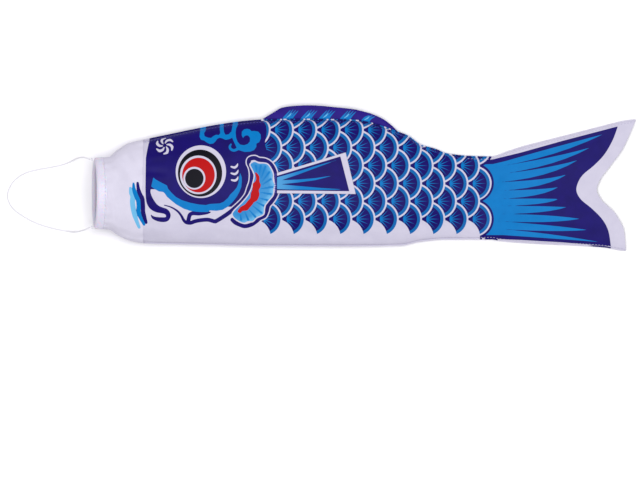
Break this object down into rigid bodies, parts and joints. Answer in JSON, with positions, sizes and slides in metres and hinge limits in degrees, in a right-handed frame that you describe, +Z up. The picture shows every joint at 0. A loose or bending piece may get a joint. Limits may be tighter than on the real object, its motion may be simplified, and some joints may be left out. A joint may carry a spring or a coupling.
{
  "type": "carp streamer",
  "caption": "Carp-shaped cloth wind streamer: an open printed satin tube with a hooped mouth, cord bridle, free side fins, a dorsal strip and a forked open tail.",
  "frame": {"origin": "on the surface the streamer lies on, under the centre of its box without the bridle", "axes": "+X from the mouth to the tail, +Y towards the carp's back, +Z up from the surface; the carp lies on its right side"},
  "size_m": [0.8088, 0.1869, 0.069],
  "materials": {
    "printed_satin": "screen-printed polyester satin",
    "fin_satin": "screen-printed polyester satin",
    "white_satin": "polyester satin",
    "seam_thread": "sewn edge",
    "hoop_plastic": "drawn",
    "ferrule_metal": "drawn tube",
    "cord": "braided"
  },
  "bodies": {
    "torso": {"hoop_casing": "white_satin", "mouth_hoop": "hoop_plastic", "hoop_ferrule": "ferrule_metal", "mouth_collar": "white_satin", "left_flank_panel": "printed_satin", "right_flank_panel": "printed_satin", "flank_back_seam": "seam_thread", "flank_belly_seam": "seam_thread", "dorsal_fin": "fin_satin", "left_fin_stitching": "seam_thread", "right_fin_stitching": "seam_thread"},
    "rear_body": {"left_rear_panel": "printed_satin", "right_rear_panel": "printed_satin", "rear_back_seam": "seam_thread", "rear_belly_seam": "seam_thread"},
    "tail": {"left_tail_panel": "printed_satin", "right_tail_panel": "printed_satin", "tail_back_seam": "seam_thread", "tail_belly_seam": "seam_thread"},
    "left_fin": {"left_pectoral_fin": "fin_satin"},
    "right_fin": {"right_pectoral_fin": "fin_satin"},
    "bridle": {"bridle_cord": "cord", "upper_bridle_knot": "cord", "lower_bridle_knot": "cord"}
  },
  "joints": [
    {"name": "rear_body_lift", "type": "hinge", "parent": "torso", "child": "rear_body", "pos_m": [0.091, -0.0225, 0.00652], "axis": [0, -1, 0], "range_deg": [0, 45]},
    {"name": "tail_lift", "type": "hinge", "parent": "rear_body", "child": "tail", "pos_m": [0.174, -0.0266, 0.00465], "axis": [0, -1, 0], "range_deg": [0, 60]},
    {"name": "left_fin_flap", "type": "hinge", "parent": "torso", "child": "left_fin", "pos_m": [-0.111, -0.007, 0.03943], "axis": [0, -1, 0], "range_deg": [0, 120]},
    {"name": "right_fin_flap", "type": "hinge", "parent": "torso", "child": "right_fin", "pos_m": [-0.111, -0.007, 0.00075], "axis": [0, 1, 0], "range_deg": [0, 120]},
    {"name": "bridle_swing", "type": "hinge", "parent": "torso", "child": "bridle", "pos_m": [-0.34821, -0.02, 0.0345], "axis": [0, 1, 0], "range_deg": [0, 135]}
  ]
}
